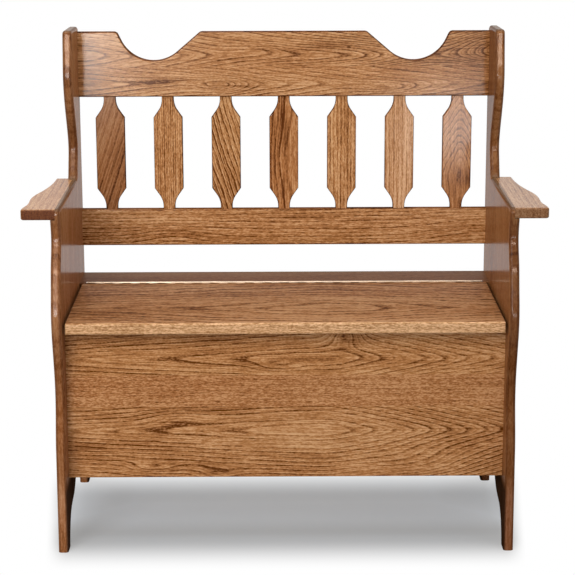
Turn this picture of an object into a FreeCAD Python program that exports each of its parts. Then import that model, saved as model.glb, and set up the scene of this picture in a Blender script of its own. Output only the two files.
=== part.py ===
import FreeCAD, Part
import math
import os

V = FreeCAD.Vector
os.makedirs("parts", exist_ok=True)

# A hall bench with a hinged seat over a storage box. All sizes are millimetres.
# It stands on the floor at z = 0, faces -Y, and its middle is on x = 0.
# A depth is counted backwards from the front of the feet.

# Stock thicknesses
panel_stock = 20.6
rail_stock = 20.6
slat_stock = 14.0
front_stock = 20.6
strip_stock = 20.6
lid_stock = 23.8
arm_stock = 22.2
board_stock = 12.0

# Main sizes
inner_width = 914.0
panel_depth = 490.0
total_height = 1057.0
seat_height = 495.0
arm_height = 728.0
box_underside = 146.6

# Front edge of an end panel: a near upright foot, a hollow, a swell at the seat and a neck under the arm
foot_lean = 4.0
foot_rise = 225.0
hollow_inset = 21.5
hollow_rise = 94.0
seat_swell = 9.0
swell_rise = 20.0
neck_inset = 36.0
neck_drop = 61.0
arm_line_inset = 27.0
panel_corner_radius = 12.0
panel_round = 6.3

# More points of that edge: depth of each, and its share of the rise from hollow to swell or swell to neck
swell_approach = [(12.0, 0.42)]
neck_approach = [(3.0, 0.33), (15.5, 0.64)]

# Back wing of an end panel: depth of each outline point, and its share of the rise from arm to top
wing_outline = [
    (372.0, 0.0),
    (394.0, 0.095),
    (405.0, 0.19),
    (389.0, 0.33),
    (349.0, 0.545),
    (337.0, 0.69),
    (345.0, 0.87),
]
wing_front_corner = 352.0
wing_top_fall = 3.0
wing_front_radius = 9.0
wing_back_radius = 16.0

# Arch between the feet: how far each outline point stands in from the foot, and its height
foot_depth = 45.0
arch_outline = [(13.0, 38.0), (36.0, 62.0), (80.0, 73.0), (119.0, 85.0), (150.0, 107.0)]
arch_height = 122.0

# Arms, let into the outer half of the panels: depth and overhang of the outer edge
arm_housing = 10.3
arm_front = 27.0
arm_rear = 391.0
arm_outline = [(42.0, 59.4), (82.0, 54.2), (135.0, 54.0), (178.0, 53.0), (240.0, 41.5), (310.0, 31.0)]
arm_rear_overhang = 27.0
arm_corner_radius = 7.0
arm_round = 4.0

# Back rails and slats
rail_setback = 4.0
crest_drop = 14.0
crest_width = 144.3
lower_rail_rise = 65.4
lower_rail_width = 83.2
rail_round = 3.0
scoop_centre = 289.0
scoop_drop = 64.0
scoop_radius = 80.0
scoop_inner_slope = 40.5
scoop_outer_slope = 65.0
scoop_corner_radius = 11.0
slat_count = 7
slat_end_margin = 68.0
slat_width = 64.8
slat_neck_width = 26.6
slat_neck_length = 5.8
slat_chamfer_angle = 35.0
slat_shoulder_radius = 45.0
slat_round = 2.0
tenon_width = 20.0
tenon_thickness = 8.0
tenon_length = 18.0
glue_play = 0.1

# Seat lid, fixed strip behind it and storage box
lid_front = 5.0
lid_side_gap = 4.2
lid_corner_radius = 5.0
lid_top_round = 5.0
lid_bottom_round = 3.0
seating_gap = 0.3
hinge_depth = 365.0
strip_setback = 11.4
strip_round = 1.5
front_setback = 55.0
front_round = 2.5
back_groove = 6.0
groove_play = 0.1
cut_past = 1.0
cleat_size = 18.0
board_gap = 0.5
batten_width = 40.0
batten_thickness = 18.0
batten_inset = 152.8
batten_front_gap = 8.0
batten_rear_gap = 20.0
batten_round = 3.0

# Continuous hinge with its barrel proud of the seat
hinge_end_gap = 17.0
barrel_radius = 2.3
barrel_lift = 1.9
leaf_stock = 1.0
leaf_height = 17.0
hinge_pin_radius = 1.15
pin_play = 0.05
pin_head_radius = 1.9
pin_head_length = 0.8
knuckle_count = 45
knuckle_gap = 0.4
leaf_clearance = 0.5
hinge_screw_count = 12
hinge_screw_margin = 24.0

# Fasteners
hole_play = 0.1
screw_length = 28.0
screw_shank_radius = 1.75
screw_head_radius = 3.6
screw_head_height = 2.6
hinge_screw_length = 16.0
hinge_screw_shank_radius = 1.1
hinge_screw_head_radius = 2.2
hinge_screw_head_height = 0.95
recess_share = 0.6
recess_width = 0.7
dowel_radius = 5.0
dowel_length = 40.0
dowel_in_panel = 14.0
small_dowel_radius = 4.0
small_dowel_length = 30.0
small_dowel_in_panel = 12.0
arm_dowel_length = 24.0
arm_dowel_in_panel = 7.0
long_cleat_screw_count = 5
short_cleat_screw_count = 4
strip_cleat_screw_count = 2
batten_screw_count = 4

# Places that follow from the sizes above
half_inner = inner_width / 2
half_outer = half_inner + panel_stock
depth_centre = (panel_depth - seat_swell) / 2
rail_back = panel_depth - rail_setback
rail_front = rail_back - rail_stock
rail_middle = rail_back - rail_stock / 2
strip_back = panel_depth - strip_setback
strip_underside = seat_height - strip_stock
lid_underside = seat_height - lid_stock
front_face = front_setback
front_back = front_setback + front_stock
back_board_front = strip_back - board_stock
axis_height = seat_height + barrel_lift
lid_back = hinge_depth - barrel_radius
strip_front = hinge_depth + barrel_radius
board_underside = box_underside + cleat_size
arm_underside = arm_height - arm_stock
crest_top = total_height - crest_drop
crest_bottom = crest_top - crest_width
lower_rail_bottom = seat_height + lower_rail_rise
lower_rail_top = lower_rail_bottom + lower_rail_width
slat_pitch = (inner_width - 2 * slat_end_margin) / (slat_count - 1)
hinge_length = inner_width - 2 * hinge_end_gap


def y_at(depth):
    """The Y of a depth behind the front of the feet."""
    return depth - depth_centre


def side_point(depth, height):
    """A point of an end panel's outline, in the plane x = 0."""
    return V(0, y_at(depth), height)


def line(start, end):
    return Part.LineSegment(start, end).toShape()


def arc(start, middle, end):
    return Part.Arc(start, middle, end).toShape()


def smooth(points, start_direction=None, end_direction=None):
    """A smooth curve through the points, with its end directions where they are given."""
    curve = Part.BSplineCurve()
    if start_direction is None:
        curve.interpolate(points)
        return curve.toShape()
    start = start_direction / start_direction.Length
    end = end_direction / end_direction.Length
    curve.interpolate(Points=points, InitialTangent=start, FinalTangent=end, Scale=False)
    return curve.toShape()


def corner(before, at, after, radius):
    """Start, middle and end of the arc that rounds the corner at a point between two straight runs."""
    to_before = (before - at).normalize()
    to_after = (after - at).normalize()
    half_angle = to_before.getAngle(to_after) / 2
    reach = radius / math.tan(half_angle)
    centre = at + (to_before + to_after).normalize() * (radius / math.sin(half_angle))
    middle = centre + (at - centre).normalize() * radius
    return at + to_before * reach, middle, at + to_after * reach


def extruded(edges, direction):
    """The solid of a closed outline drawn out along a direction."""
    return Part.Face(Part.Wire(edges)).extrude(direction)


def block(x_low, x_high, depth_low, depth_high, z_low, z_high):
    """A box between two X values, two depths and two heights."""
    corner_point = V(x_low, y_at(depth_low), z_low)
    return Part.makeBox(x_high - x_low, depth_high - depth_low, z_high - z_low, corner_point)


def mirrored(shape):
    """The same piece on the other side of the bench."""
    return shape.mirror(V(0, 0, 0), V(1, 0, 0))


def spans(edge, axis):
    """Lowest and highest value of an edge along an axis."""
    box = edge.BoundBox
    return getattr(box, axis + "Min"), getattr(box, axis + "Max")


def in_plane(edge, axis, value):
    """Whether an edge lies in the plane where the axis has this value."""
    low, high = spans(edge, axis)
    return abs(low - value) < 0.01 and abs(high - value) < 0.01


def on_face(edge, axis, low, high):
    """Whether an edge lies in either of the two planes where the axis has these values."""
    return in_plane(edge, axis, low) or in_plane(edge, axis, high)


def length_along(edge, axis):
    """How far an edge reaches along an axis."""
    low, high = spans(edge, axis)
    return high - low


def rounded(solid, radius, wanted):
    """The solid with a round-over on the edges that are wanted."""
    return solid.makeFillet(radius, [edge for edge in solid.Edges if wanted(edge)])


def spread(low, high, count):
    """Places spaced evenly between two ends, each half a space in from the nearest end."""
    space = (high - low) / count
    return [low + space * (i + 0.5) for i in range(count)]


def rod(start, direction, radius, length):
    return Part.makeCylinder(radius, length, start, direction)


def screw_blank(shank_radius, head_radius, head_height, length, play=0.0):
    """A countersunk wood screw with no recess, head at the origin and driven along +Z."""
    tip = 3 * shank_radius
    head = Part.makeCone(head_radius + play, shank_radius + play, head_height)
    shank = Part.makeCylinder(shank_radius + play, length - tip - head_height, V(0, 0, head_height))
    point = Part.makeCone(shank_radius + play, shank_radius / 4 + play, tip, V(0, 0, length - tip))
    return head.fuse([shank, point]).removeSplitter()


def cross_recess(head_radius, head_height):
    """The cross cut into a screw head."""
    reach = head_radius * recess_share
    depth = head_height * recess_share
    slot = Part.makeBox(2 * reach, recess_width, depth, V(-reach, -recess_width / 2, 0))
    other = Part.makeBox(recess_width, 2 * reach, depth, V(-recess_width / 2, -reach, 0))
    return slot.fuse(other)


class Screw:
    """One size of countersunk wood screw, and the hole that it is driven into."""

    def __init__(self, shank_radius, head_radius, head_height, length):
        sizes = (shank_radius, head_radius, head_height, length)
        self.solid = screw_blank(*sizes).cut(cross_recess(head_radius, head_height))
        self.hole = screw_blank(*sizes, play=hole_play)

    def place(self, shape, point, direction):
        copy = shape.copy()
        copy.Placement = FreeCAD.Placement(point, FreeCAD.Rotation(V(0, 0, 1), direction))
        return copy

    def driven(self, point, direction):
        return self.place(self.solid, point, direction)

    def bore(self, point, direction):
        return self.place(self.hole, point, direction)


wood_screw = Screw(screw_shank_radius, screw_head_radius, screw_head_height, screw_length)
hinge_screw = Screw(
    hinge_screw_shank_radius, hinge_screw_head_radius, hinge_screw_head_height, hinge_screw_length
)

pieces = {}
groups = {}


def drill(names, tools):
    """Cuts the same holes through every named piece."""
    for name in names:
        pieces[name] = pieces[name].cut(tools)


def drive(group, names, screw, places, direction):
    """Drives a row of screws through the named pieces and adds them to their group."""
    drill(names, [screw.bore(place, direction) for place in places])
    groups.setdefault(group, []).extend(screw.driven(place, direction) for place in places)


def peg(group, names, places, direction, radius, length):
    """Lets a row of dowels into the named pieces and adds them to their group."""
    low = [place - direction * glue_play for place in places]
    drill(names, [rod(place, direction, radius + glue_play, length + 2 * glue_play) for place in low])
    groups.setdefault(group, []).extend(rod(place, direction, radius, length) for place in places)


def on_the_way(start_height, end_height, points):
    """Outline points placed by their share of the rise between two heights."""
    rise = end_height - start_height
    return [side_point(depth, start_height + share * rise) for depth, share in points]


def panel_front_edges():
    """The front line of an end panel, from the floor to the corner at the arm."""
    foot_top = side_point(foot_lean, foot_rise)
    hollow_height = foot_rise + hollow_rise
    swell_height = seat_height + swell_rise
    neck_height = arm_height - neck_drop
    curve = [
        foot_top,
        side_point(hollow_inset, hollow_height),
        *on_the_way(hollow_height, swell_height, swell_approach),
        side_point(-seat_swell, swell_height),
        *on_the_way(swell_height, neck_height, neck_approach),
        side_point(neck_inset, neck_height),
        side_point(arm_line_inset, arm_height - panel_corner_radius),
    ]
    turn = panel_corner_radius * (1 - math.sqrt(0.5))
    return [
        line(side_point(0, 0), foot_top),
        smooth(curve, foot_top - side_point(0, 0), V(0, 0, 1)),
        arc(
            curve[-1],
            side_point(arm_line_inset + turn, arm_height - turn),
            side_point(arm_line_inset + panel_corner_radius, arm_height),
        ),
    ]


def panel_wing_edges():
    """The top of an end panel: along the arm, up the wing and over to its back edge."""
    wing = on_the_way(arm_height, total_height, wing_outline)
    top_front = side_point(wing_front_corner, total_height)
    top_back = side_point(panel_depth, total_height - wing_top_fall)
    back_foot = side_point(panel_depth, 0)
    front_start, front_middle, front_end = corner(wing[-1], top_front, top_back, wing_front_radius)
    back_start, back_middle, back_end = corner(top_front, top_back, back_foot, wing_back_radius)
    return [
        line(side_point(arm_line_inset + panel_corner_radius, arm_height), wing[0]),
        smooth(wing, V(0, 1, 0), top_front - wing[-1]),
        line(wing[-1], front_start),
        arc(front_start, front_middle, front_end),
        line(front_end, back_start),
        arc(back_start, back_middle, back_end),
        line(back_end, back_foot),
    ]


def panel_arch_edges():
    """The underside of an end panel: the back foot, the arch and the front foot."""
    front_half = [(foot_depth + inset, height) for inset, height in arch_outline]
    back_half = [(panel_depth - depth, height) for depth, height in reversed(front_half)]
    middle = [(panel_depth / 2, arch_height)]
    route = [(foot_depth, 0), *front_half, *middle, *back_half, (panel_depth - foot_depth, 0)]
    arch = [side_point(depth, height) for depth, height in reversed(route)]
    return [
        line(side_point(panel_depth, 0), arch[0]),
        smooth(arch),
        line(arch[-1], side_point(0, 0)),
    ]


def end_panel():
    """The right end panel, with the housing for its arm and the groove for the back board."""
    edges = panel_front_edges() + panel_wing_edges() + panel_arch_edges()
    solid = extruded(edges, V(panel_stock, 0, 0))
    solid = rounded(
        solid,
        panel_round,
        lambda edge: on_face(edge, "X", 0, panel_stock) and not in_plane(edge, "Z", 0),
    )
    solid.translate(V(half_inner, 0, 0))
    housing = block(
        half_outer - arm_housing,
        half_outer + cut_past,
        -seat_swell - cut_past,
        arm_rear + glue_play,
        arm_underside - glue_play,
        arm_height,
    )
    groove = block(
        half_inner - cut_past,
        half_inner + back_groove,
        back_board_front - groove_play,
        strip_back + groove_play,
        box_underside - groove_play,
        strip_underside,
    )
    return solid.cut([housing, groove])


def arm():
    """The right arm, a flat board that overhangs the outside of its end panel."""
    inner = half_outer - arm_housing + glue_play
    base = arm_underside

    def plan(depth, overhang):
        return V(half_outer + overhang, y_at(depth), base)

    front_inner = V(inner, y_at(arm_front), base)
    outer = [plan(depth, overhang) for depth, overhang in arm_outline]
    outer.append(plan(arm_rear, arm_rear_overhang))
    front_outer = V(outer[0].x, y_at(arm_front), base)
    start, middle, end = corner(front_inner, front_outer, outer[0], arm_corner_radius)
    rear_inner = V(inner, y_at(arm_rear), base)
    edges = [
        line(front_inner, start),
        arc(start, middle, end),
        line(end, outer[0]),
        smooth(outer, V(0, 1, 0), V(0, 1, 0)),
        line(outer[-1], rear_inner),
        line(rear_inner, front_inner),
    ]
    solid = extruded(edges, V(0, 0, arm_stock))
    return rounded(
        solid,
        arm_round,
        lambda edge: on_face(edge, "Z", base, arm_height)
        and not in_plane(edge, "X", inner)
        and not in_plane(edge, "Y", y_at(arm_rear)),
    )


def crest_rail():
    """The top back rail, with a scoop cut out of its top edge on each side."""
    y = y_at(rail_front)
    bottom = crest_top - scoop_drop
    inner = math.radians(scoop_inner_slope)
    outer = math.radians(scoop_outer_slope)

    def on_scoop(angle):
        rise = scoop_radius * (1 - math.cos(angle))
        return V(scoop_centre + scoop_radius * math.sin(angle), y, bottom + rise)

    foot_in = on_scoop(-inner)
    foot_out = on_scoop(outer)
    top_in = V(foot_in.x - (crest_top - foot_in.z) / math.tan(inner), y, crest_top)
    top_out = V(foot_out.x + (crest_top - foot_out.z) / math.tan(outer), y, crest_top)
    middle_top = V(0, y, crest_top)
    end_top = V(half_inner, y, crest_top)
    in_start, in_middle, in_end = corner(middle_top, top_in, foot_in, scoop_corner_radius)
    out_start, out_middle, out_end = corner(foot_out, top_out, end_top, scoop_corner_radius)
    half = [
        line(middle_top, in_start),
        arc(in_start, in_middle, in_end),
        line(in_end, foot_in),
        arc(foot_in, on_scoop(0), foot_out),
        line(foot_out, out_start),
        arc(out_start, out_middle, out_end),
        line(out_end, end_top),
        line(end_top, V(half_inner, y, crest_bottom)),
        line(V(half_inner, y, crest_bottom), V(0, y, crest_bottom)),
        line(V(0, y, crest_bottom), middle_top),
    ]
    right = extruded(half, V(0, rail_stock, 0))
    solid = right.fuse(mirrored(right)).removeSplitter()
    return rounded(
        solid,
        rail_round,
        lambda edge: on_face(edge, "Y", y, y + rail_stock)
        and not on_face(edge, "X", -half_inner, half_inner),
    )


def lower_back_rail():
    solid = block(-half_inner, half_inner, rail_front, rail_back, lower_rail_bottom, lower_rail_top)
    return rounded(solid, rail_round, lambda edge: length_along(edge, "X") > rail_stock)


def slat_side(sign, z_low, z_high):
    """One side of a slat from its lower neck to its upper neck, as edges in the plane y = 0."""
    angle = math.radians(slat_chamfer_angle)
    neck = slat_neck_width / 2
    body = slat_width / 2
    turn = slat_shoulder_radius * (1 - math.cos(angle))
    arc_rise = slat_shoulder_radius * math.sin(angle)
    chamfer_rise = (body - neck - turn) / math.tan(angle)
    half = angle / 2
    bulge = slat_shoulder_radius * (1 - math.cos(half))
    bulge_rise = slat_shoulder_radius * math.sin(half)

    def shoulder(end, up):
        """Neck end, arc middle, arc end and body corner, from a rail towards the body."""
        start = end + up * slat_neck_length
        return [
            V(sign * neck, 0, start),
            V(sign * (neck + bulge), 0, start + up * bulge_rise),
            V(sign * (neck + turn), 0, start + up * arc_rise),
            V(sign * body, 0, start + up * (arc_rise + chamfer_rise)),
        ]

    low = shoulder(z_low, 1)
    high = shoulder(z_high, -1)
    return [
        line(V(sign * neck, 0, z_low), low[0]),
        arc(low[0], low[1], low[2]),
        line(low[2], low[3]),
        line(low[3], high[3]),
        line(high[3], high[2]),
        arc(high[2], high[1], high[0]),
        line(high[0], V(sign * neck, 0, z_high)),
    ]


def tenon(z_low, play=0.0):
    """The tenon at a slat's end, centred on x = 0 and on the slat's thickness, or its mortise."""
    return Part.makeBox(
        tenon_width + 2 * play,
        tenon_thickness + 2 * play,
        tenon_length + 2 * play,
        V(-tenon_width / 2 - play, y_at(rail_middle) - tenon_thickness / 2 - play, z_low - play),
    )


def back_slat():
    """A slat at x = 0, with necks that meet the rails and a tenon into each."""
    neck = slat_neck_width / 2
    right = slat_side(1, lower_rail_top, crest_bottom)
    left = slat_side(-1, lower_rail_top, crest_bottom)
    ends = [line(V(-neck, 0, z), V(neck, 0, z)) for z in (lower_rail_top, crest_bottom)]
    edges = Part.__sortEdges__([*right, *left, *ends])
    solid = extruded(edges, V(0, slat_stock, 0))
    solid.translate(V(0, y_at(rail_middle) - slat_stock / 2, 0))
    front = y_at(rail_middle) - slat_stock / 2
    solid = rounded(
        solid,
        slat_round,
        lambda edge: on_face(edge, "Y", front, front + slat_stock)
        and not on_face(edge, "Z", lower_rail_top, crest_bottom),
    )
    return solid.fuse([tenon(lower_rail_top - tenon_length), tenon(crest_bottom)]).removeSplitter()


def add_back():
    """The rails, the slats between them and the mortises for their tenons."""
    pieces["crest_rail"] = crest_rail()
    pieces["lower_back_rail"] = lower_back_rail()
    slat = back_slat()
    upper = tenon(crest_bottom, glue_play)
    lower = tenon(lower_rail_top - tenon_length, glue_play)
    first = -slat_pitch * (slat_count - 1) / 2
    for i in range(slat_count):
        shift = V(first + i * slat_pitch, 0, 0)
        pieces[f"back_slat_{i + 1}"] = slat.translated(shift)
        drill(["crest_rail"], [upper.translated(shift)])
        drill(["lower_back_rail"], [lower.translated(shift)])


def seat_lid():
    """The seat, with softened front corners and a round-over on its front and side edges."""
    half = half_inner - lid_side_gap
    front = y_at(lid_front)
    solid = block(-half, half, lid_front, lid_back, lid_underside, seat_height)
    solid = rounded(
        solid,
        lid_corner_radius,
        lambda edge: in_plane(edge, "Y", front) and not on_face(edge, "Z", lid_underside, seat_height),
    )
    back = y_at(lid_back)
    solid = rounded(
        solid,
        lid_top_round,
        lambda edge: in_plane(edge, "Z", seat_height) and not in_plane(edge, "Y", back),
    )
    return rounded(
        solid,
        lid_bottom_round,
        lambda edge: in_plane(edge, "Z", lid_underside) and not in_plane(edge, "Y", back),
    )


def rear_seat_strip():
    """The fixed strip behind the lid, flush with it, that carries the hinge."""
    solid = block(-half_inner, half_inner, strip_front, strip_back, strip_underside, seat_height)
    return rounded(
        solid,
        strip_round,
        lambda edge: in_plane(edge, "Z", seat_height) and length_along(edge, "X") > strip_stock,
    )


def front_panel():
    """The front of the box, glued up from wide boards, with a softened lower edge."""
    top = lid_underside - seating_gap
    solid = block(-half_inner, half_inner, front_face, front_back, box_underside, top)
    return rounded(
        solid,
        front_round,
        lambda edge: in_plane(edge, "Z", box_underside) and in_plane(edge, "Y", y_at(front_face)),
    )


def add_box():
    """Front, back and bottom of the storage box, and the cleats and screws that hold the bottom."""
    pieces["front_panel"] = front_panel()
    groove_reach = half_inner + back_groove - groove_play
    pieces["box_back_panel"] = block(
        -groove_reach,
        groove_reach,
        back_board_front,
        strip_back,
        box_underside,
        strip_underside - groove_play,
    )
    pieces["box_bottom"] = block(
        -half_inner + board_gap,
        half_inner - board_gap,
        front_back + board_gap,
        back_board_front - board_gap,
        board_underside,
        board_underside + board_stock,
    )
    inner = half_inner - cleat_size
    middle = box_underside + cleat_size / 2
    pieces["bottom_cleat_front"] = block(
        -inner, inner, front_back, front_back + cleat_size, box_underside, board_underside
    )
    back_cleat_front = back_board_front - cleat_size
    pieces["bottom_cleat_back"] = block(
        -inner, inner, back_cleat_front, back_board_front, box_underside, board_underside
    )
    side = block(inner, half_inner, front_back, back_board_front, box_underside, board_underside)
    pieces["bottom_cleat_right"] = side
    pieces["bottom_cleat_left"] = mirrored(side)
    across = spread(-inner, inner, long_cleat_screw_count)
    front_places = [V(x, y_at(front_back + cleat_size), middle) for x in across]
    drive("cleat_screws", ["bottom_cleat_front", "front_panel"], wood_screw, front_places, V(0, -1, 0))
    back_places = [V(x, y_at(back_cleat_front), middle) for x in across]
    drive("cleat_screws", ["bottom_cleat_back", "box_back_panel"], wood_screw, back_places, V(0, 1, 0))
    along = spread(front_back, back_board_front, short_cleat_screw_count)
    for side_name, sign in (("right", 1), ("left", -1)):
        places = [V(sign * inner, y_at(depth), middle) for depth in along]
        names = ["bottom_cleat_" + side_name, side_name + "_end_panel"]
        drive("cleat_screws", names, wood_screw, places, V(sign, 0, 0))


def add_seat():
    """The lid with its battens, and the fixed strip with its cleats."""
    pieces["seat_lid"] = seat_lid()
    pieces["rear_seat_strip"] = rear_seat_strip()
    inner = half_inner - cleat_size
    cleat_front = strip_front + cleat_size
    cleat_underside = strip_underside - cleat_size
    cleat = block(inner, half_inner, cleat_front, back_board_front, cleat_underside, strip_underside)
    pieces["strip_cleat_right"] = cleat
    pieces["strip_cleat_left"] = mirrored(cleat)
    height = strip_underside - cleat_size / 2
    for side_name, sign in (("right", 1), ("left", -1)):
        along = spread(cleat_front, back_board_front, strip_cleat_screw_count)
        places = [V(sign * inner, y_at(depth), height) for depth in along]
        names = ["strip_cleat_" + side_name, side_name + "_end_panel"]
        drive("cleat_screws", names, wood_screw, places, V(sign, 0, 0))
    batten_middle = half_inner - lid_side_gap - batten_inset
    batten_low = batten_middle - batten_width / 2
    batten_start = front_back + batten_front_gap
    batten_end = lid_back - batten_rear_gap
    underside = lid_underside - batten_thickness
    batten_high = batten_low + batten_width
    batten = block(batten_low, batten_high, batten_start, batten_end, underside, lid_underside)
    batten = rounded(batten, batten_round, lambda edge: in_plane(edge, "Z", underside))
    pieces["lid_batten_right"] = batten
    pieces["lid_batten_left"] = mirrored(batten)
    for side_name, sign in (("right", 1), ("left", -1)):
        along = spread(batten_start, batten_end, batten_screw_count)
        places = [V(sign * batten_middle, y_at(depth), underside) for depth in along]
        names = ["lid_batten_" + side_name, "seat_lid"]
        drive("lid_batten_screws", names, wood_screw, places, V(0, 0, 1))


def hinge_leaf(side, own):
    """A leaf of the hinge, behind the pin (side 1) or before it (side -1), with every other knuckle."""
    y_axis = y_at(hinge_depth)
    pitch = hinge_length / knuckle_count
    outer = y_axis + side * barrel_radius
    inner = outer - side * leaf_stock
    low_y = min(outer, inner)
    leaf = Part.makeBox(
        hinge_length, leaf_stock, leaf_height, V(-hinge_length / 2, low_y, axis_height - leaf_height)
    )
    notch_height = barrel_radius + leaf_clearance
    notches = []
    barrels = []
    for i in range(knuckle_count):
        start = -hinge_length / 2 + i * pitch
        if i % 2 == own:
            place = V(start + knuckle_gap / 2, y_axis, axis_height)
            barrels.append(rod(place, V(1, 0, 0), barrel_radius, pitch - knuckle_gap))
        else:
            notches.append(
                Part.makeBox(
                    pitch + knuckle_gap,
                    4 * barrel_radius,
                    notch_height + barrel_radius,
                    V(start - knuckle_gap / 2, y_axis - 2 * barrel_radius, axis_height - notch_height),
                )
            )
    bore_start = V(-hinge_length, y_axis, axis_height)
    bore = rod(bore_start, V(1, 0, 0), hinge_pin_radius + pin_play, 2 * hinge_length)
    return leaf.cut(notches).fuse(barrels).cut(bore).removeSplitter()


def add_hinge():
    """Two leaves on one pin, screwed to the back edge of the lid and the front edge of the strip."""
    y_axis = y_at(hinge_depth)
    pieces["hinge_leaf_fixed"] = hinge_leaf(1, 0)
    pieces["hinge_leaf_lid"] = hinge_leaf(-1, 1)
    start = V(-hinge_length / 2, y_axis, axis_height)
    pin = rod(start, V(1, 0, 0), hinge_pin_radius, hinge_length)
    heads = [
        rod(start, V(-1, 0, 0), pin_head_radius, pin_head_length),
        rod(start + V(hinge_length, 0, 0), V(1, 0, 0), pin_head_radius, pin_head_length),
    ]
    pieces["hinge_pin"] = pin.fuse(heads).removeSplitter()
    reach = hinge_length / 2 - hinge_screw_margin
    space = 2 * reach / (hinge_screw_count - 1)
    height = axis_height - (leaf_height + barrel_radius + leaf_clearance) / 2
    for group, names, side in (
        ("hinge_screws_fixed", ["hinge_leaf_fixed", "rear_seat_strip"], 1),
        ("hinge_screws_lid", ["hinge_leaf_lid", "seat_lid"], -1),
    ):
        y = y_axis + side * (barrel_radius - leaf_stock)
        places = [V(-reach + i * space, y, height) for i in range(hinge_screw_count)]
        drive(group, names, hinge_screw, places, V(0, side, 0))


def add_dowels():
    """The dowels that join the rails, the strip, the front and the arms to the end panels."""
    rail_y = y_at(rail_middle)
    front_y = y_at(front_face + front_stock / 2)
    strip_z = (seat_height + strip_underside) / 2
    for side_name, sign in (("right", 1), ("left", -1)):
        panel = side_name + "_end_panel"
        outward = V(sign, 0, 0)
        large = sign * (half_inner + dowel_in_panel - dowel_length)
        for name, low, high in (
            ("crest_rail", crest_bottom, crest_top),
            ("lower_back_rail", lower_rail_bottom, lower_rail_top),
        ):
            places = [V(large, rail_y, z) for z in spread(low, high, 2)]
            peg("rail_dowels", [name, panel], places, outward, dowel_radius, dowel_length)
        small = sign * (half_inner + small_dowel_in_panel - small_dowel_length)
        heights = spread(box_underside, lid_underside, 3)
        places = [V(small, front_y, z) for z in heights]
        small_size = (small_dowel_radius, small_dowel_length)
        peg("box_dowels", ["front_panel", panel], places, outward, *small_size)
        places = [V(small, y_at(depth), strip_z) for depth in spread(strip_front, strip_back, 2)]
        peg("box_dowels", ["rear_seat_strip", panel], places, outward, *small_size)
        arm_x = sign * (half_outer - arm_housing - arm_dowel_in_panel)
        arm_z = (arm_height + arm_underside) / 2
        places = [V(arm_x, y_at(depth), arm_z) for depth in spread(arm_front, arm_rear, 3)]
        names = [side_name + "_arm", panel]
        peg("arm_dowels", names, places, outward, small_dowel_radius, arm_dowel_length)


def main():
    panel = end_panel()
    pieces["right_end_panel"] = panel
    pieces["left_end_panel"] = mirrored(panel)
    right_arm = arm()
    pieces["right_arm"] = right_arm
    pieces["left_arm"] = mirrored(right_arm)
    add_back()
    add_box()
    add_seat()
    add_hinge()
    add_dowels()
    for name, members in groups.items():
        pieces[name] = Part.makeCompound(members)
    for name, shape in sorted(pieces.items()):
        solids = shape.Solids
        valid = all(solid.isValid() for solid in solids)
        state = "valid" if valid else "NOT VALID"
        print(name, len(solids), "solids", state, round(shape.Volume / 1000, 2), "cm3")
        exported = solids[0] if len(solids) == 1 else Part.makeCompound(solids)
        exported.exportStep(f"parts/{name}.step")


main()
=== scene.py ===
"""Finish, light and camera for the hall bench. All lengths are metres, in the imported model's own frame."""

import logging
import math
from dataclasses import astuple, dataclass
from enum import Enum

import bmesh
import bpy
from mathutils import Matrix, Vector


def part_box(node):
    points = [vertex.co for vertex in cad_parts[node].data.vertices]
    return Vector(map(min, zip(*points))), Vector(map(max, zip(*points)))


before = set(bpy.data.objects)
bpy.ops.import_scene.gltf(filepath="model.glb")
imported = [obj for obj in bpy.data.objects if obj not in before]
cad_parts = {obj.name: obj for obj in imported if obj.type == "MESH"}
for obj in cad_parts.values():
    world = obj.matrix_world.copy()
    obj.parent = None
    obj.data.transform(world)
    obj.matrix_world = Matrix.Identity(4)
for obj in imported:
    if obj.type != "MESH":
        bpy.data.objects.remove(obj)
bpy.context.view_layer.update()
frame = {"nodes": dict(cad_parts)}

LOG = logging.getLogger("hall_bench")

Colour = tuple[float, float, float]
Triple = tuple[float, float, float]
Range = tuple[float, float]
Socket = bpy.types.NodeSocket
Sources = dict[str, object]

UNIT: Range = (0.0, 1.0)
DOWN: Range = (1.0, 0.0)
WHITE: Colour = (1.0, 1.0, 1.0)
WARM: Colour = (1.0, 0.78, 0.62)


class Axis(Enum):
    """An axis, by its place in a vector."""

    X = 0
    Y = 1
    Z = 2


class Side(Enum):
    """Which way a face looks: its axis, and the sign along it."""

    LEFT = (Axis.X, -1.0)
    RIGHT = (Axis.X, 1.0)
    FRONT = (Axis.Y, -1.0)
    BOTTOM = (Axis.Z, -1.0)
    TOP = (Axis.Z, 1.0)


class BoardAxes(Enum):
    """Which axes run along a board's length, across its width and through its thickness."""

    LENGTH_X_WIDTH_Z = "XZY"
    LENGTH_X_WIDTH_Y = "XYZ"
    LENGTH_Y_WIDTH_X = "YXZ"
    LENGTH_Z_WIDTH_Y = "ZYX"
    LENGTH_Z_WIDTH_X = "ZXY"

    def places(self) -> list[int]:
        """Gives the place in a vector of the length, the width and the thickness."""
        return [Axis[letter].value for letter in self.value]


@dataclass(frozen=True)
class WoodTone:
    """Three colours of a stained board: between the rings, of the ring bands and of the pores."""

    light: Colour
    main: Colour
    dark: Colour

    def scaled(self, red: float, green: float, blue: float) -> "WoodTone":
        """Gives the same tone with its channels multiplied."""
        return WoodTone(*((r * red, g * green, b * blue) for r, g, b in (self.light, self.main, self.dark)))


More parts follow.
